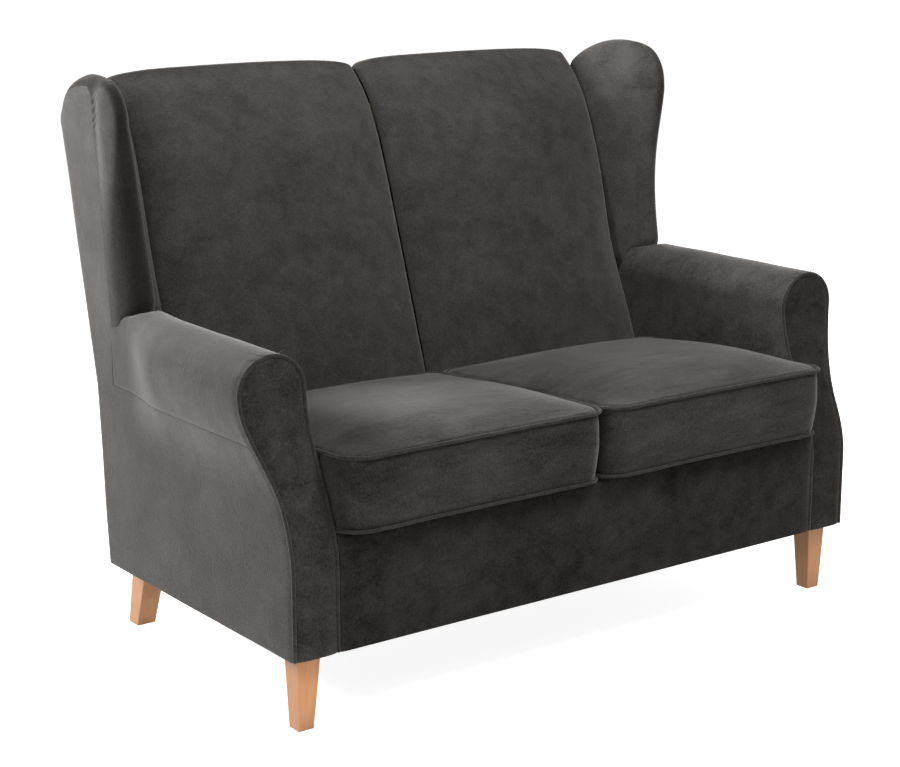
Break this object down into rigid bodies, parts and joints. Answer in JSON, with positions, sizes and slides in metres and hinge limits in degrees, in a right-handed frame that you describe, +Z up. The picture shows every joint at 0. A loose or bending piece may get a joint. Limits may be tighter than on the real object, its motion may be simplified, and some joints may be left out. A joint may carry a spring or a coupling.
{
  "type": "two-seater sofa",
  "caption": "Wing-back two-seater sofa with piped scroll arms, crowned back panels, loose box seat cushions and tapered wooden legs.",
  "frame": {"origin": "on the floor, under the middle of the sofa's overall box", "axes": "+X across the sofa, to the right as seen from the front; +Y from the front towards the back; +Z up"},
  "size_m": [1.38, 0.8357, 1.0527],
  "materials": {
    "cloth": "dark charcoal velour with a short, softly brushed nap",
    "piping": "self piping: the same velour cut on the bias over a cord",
    "beech": "pale beech under clear satin lacquer",
    "timber": "planed, unfinished",
    "plywood": "sanded plywood, unfinished",
    "steel": "drawn spring wire and zinc-plated fittings",
    "felt": "black non-woven felt",
    "webbing": "woven jute-coloured elastic webbing",
    "foam": "open-cell cushion foam"
  },
  "bodies": {
    "frame": {"front_rail": "timber", "rear_rail": "timber", "side_rail_left": "timber", "side_rail_right": "timber", "seat_centre_rail": "timber", "rear_spring_rail": "timber", "corner_blocks": "timber", "arm_board_left": "plywood", "arm_board_right": "plywood", "arm_front_board_left": "plywood", "arm_front_board_right": "plywood", "arm_top_rail_left": "timber", "arm_top_rail_right": "timber", "back_post_left": "timber", "back_post_right": "timber", "back_centre_post": "timber", "back_top_rail": "timber", "wing_board_left": "plywood", "wing_board_right": "plywood", "seat_springs": "steel", "spring_clips": "steel", "back_webbing": "webbing", "seat_deck": "felt", "dust_cover": "felt", "front_rail_cover": "cloth", "side_panel_left": "cloth", "side_panel_right": "cloth", "arm_cover_left": "cloth", "arm_cover_right": "cloth", "arm_front_left": "cloth", "arm_front_right": "cloth", "arm_piping_left": "piping", "arm_piping_right": "piping", "wing_cover_left": "cloth", "wing_cover_right": "cloth", "back_panel_left": "cloth", "back_panel_right": "cloth", "outer_back": "cloth", "leg_front_left": "beech", "leg_front_right": "beech", "leg_rear_left": "beech", "leg_rear_right": "beech", "leg_bolts": "steel", "leg_nuts": "steel"},
    "cushion_left": {"seat_cushion_left": "cloth", "cushion_core_left": "foam", "cushion_piping_left": "piping"},
    "cushion_right": {"seat_cushion_right": "cloth", "cushion_core_right": "foam", "cushion_piping_right": "piping"}
  },
  "joints": [
    {"name": "cushion_left_lift", "type": "slide", "parent": "frame", "child": "cushion_left", "axis": [0, 0, 1], "range_m": [0, 0.75]},
    {"name": "cushion_right_lift", "type": "slide", "parent": "frame", "child": "cushion_right", "axis": [0, 0, 1], "range_m": [0, 0.75]}
  ]
}
